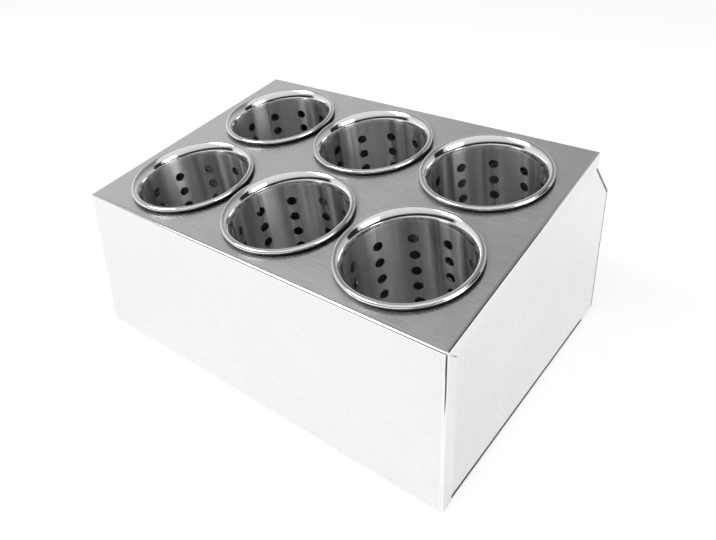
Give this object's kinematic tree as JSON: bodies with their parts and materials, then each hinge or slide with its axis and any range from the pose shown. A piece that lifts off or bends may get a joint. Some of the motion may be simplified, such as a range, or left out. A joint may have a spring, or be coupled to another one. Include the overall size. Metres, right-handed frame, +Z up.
{
  "type": "cutlery dispenser",
  "caption": "Countertop stainless steel cutlery holder: a folded housing with a sloping deck that carries perforated round lift-out cups.",
  "frame": {"origin": "on the table, under the middle of the housing's width and depth", "axes": "+Z up, the front panel faces -Y, X runs along the front, from the viewer's left to right"},
  "size_m": [0.42, 0.328, 0.2087],
  "materials": {
    "housing_steel": "satin, finely brushed",
    "cup_steel": "satin, with a polished rolled rim",
    "rubber": "matte"
  },
  "bodies": {
    "housing": {"deck_and_front": "housing_steel", "side_panel_left": "housing_steel", "side_panel_right": "housing_steel", "back_panel": "housing_steel", "foot_front_left": "rubber", "foot_front_right": "rubber", "foot_rear_left": "rubber", "foot_rear_right": "rubber"},
    "cup_1": {"cup_1_wall": "cup_steel", "cup_1_base": "cup_steel"},
    "cup_2": {"cup_2_wall": "cup_steel", "cup_2_base": "cup_steel"},
    "cup_3": {"cup_3_wall": "cup_steel", "cup_3_base": "cup_steel"},
    "cup_4": {"cup_4_wall": "cup_steel", "cup_4_base": "cup_steel"},
    "cup_5": {"cup_5_wall": "cup_steel", "cup_5_base": "cup_steel"},
    "cup_6": {"cup_6_wall": "cup_steel", "cup_6_base": "cup_steel"}
  },
  "joints": [
    {"name": "cup_1_lift", "type": "slide", "parent": "housing", "child": "cup_1", "axis": [0, -0.1719, 0.9851], "range_m": [0, 0.15]},
    {"name": "cup_2_lift", "type": "slide", "parent": "housing", "child": "cup_2", "axis": [0, -0.1719, 0.9851], "range_m": [0, 0.15]},
    {"name": "cup_3_lift", "type": "slide", "parent": "housing", "child": "cup_3", "axis": [0, -0.1719, 0.9851], "range_m": [0, 0.15]},
    {"name": "cup_4_lift", "type": "slide", "parent": "housing", "child": "cup_4", "axis": [0, -0.1719, 0.9851], "range_m": [0, 0.15]},
    {"name": "cup_5_lift", "type": "slide", "parent": "housing", "child": "cup_5", "axis": [0, -0.1719, 0.9851], "range_m": [0, 0.15]},
    {"name": "cup_6_lift", "type": "slide", "parent": "housing", "child": "cup_6", "axis": [0, -0.1719, 0.9851], "range_m": [0, 0.15]}
  ]
}
